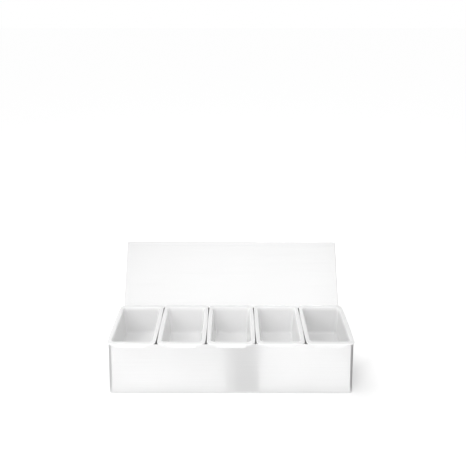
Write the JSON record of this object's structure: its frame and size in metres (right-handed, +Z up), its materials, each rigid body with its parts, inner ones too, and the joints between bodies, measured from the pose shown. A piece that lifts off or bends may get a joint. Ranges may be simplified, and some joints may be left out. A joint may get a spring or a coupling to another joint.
{
  "type": "condiment caddy",
  "caption": "Bar condiment caddy: a long steel box with lift-out plastic inserts in a row above an ice space, under a single hinged sheet lid.",
  "frame": {"origin": "middle of the underside of the box, on the surface that it stands on", "axes": "+X along the box to the right, +Y from the front to the hinged back, +Z up"},
  "size_m": [0.4636, 0.248, 0.2076],
  "materials": {
    "steel": "brushed along X",
    "hinge_steel": "mill finish",
    "white_plastic": "smooth moulded"
  },
  "bodies": {
    "box": {"body_wrap": "steel", "base_pan": "steel", "rear_wall": "steel", "hinge_base_leaf": "hinge_steel", "hinge_pin": "hinge_steel", "base_rivets": "hinge_steel"},
    "lid": {"lid": "steel", "hinge_lid_leaf": "hinge_steel", "lid_rivets": "hinge_steel"},
    "insert_1": {"insert_1": "white_plastic"},
    "insert_2": {"insert_2": "white_plastic"},
    "insert_3": {"insert_3": "white_plastic"},
    "insert_4": {"insert_4": "white_plastic"},
    "insert_5": {"insert_5": "white_plastic"}
  },
  "joints": [
    {"name": "lid_hinge", "type": "hinge", "parent": "box", "child": "lid", "pos_m": [0, 0.07685, 0.0846], "axis": [-1, 0, 0], "range_deg": [-120, 0]},
    {"name": "insert_1_lift", "type": "slide", "parent": "box", "child": "insert_1", "axis": [0, 0, 1], "range_m": [0, 0.07]},
    {"name": "insert_2_lift", "type": "slide", "parent": "box", "child": "insert_2", "axis": [0, 0, 1], "range_m": [0, 0.07]},
    {"name": "insert_3_lift", "type": "slide", "parent": "box", "child": "insert_3", "axis": [0, 0, 1], "range_m": [0, 0.07]},
    {"name": "insert_4_lift", "type": "slide", "parent": "box", "child": "insert_4", "axis": [0, 0, 1], "range_m": [0, 0.07]},
    {"name": "insert_5_lift", "type": "slide", "parent": "box", "child": "insert_5", "axis": [0, 0, 1], "range_m": [0, 0.07]}
  ]
}
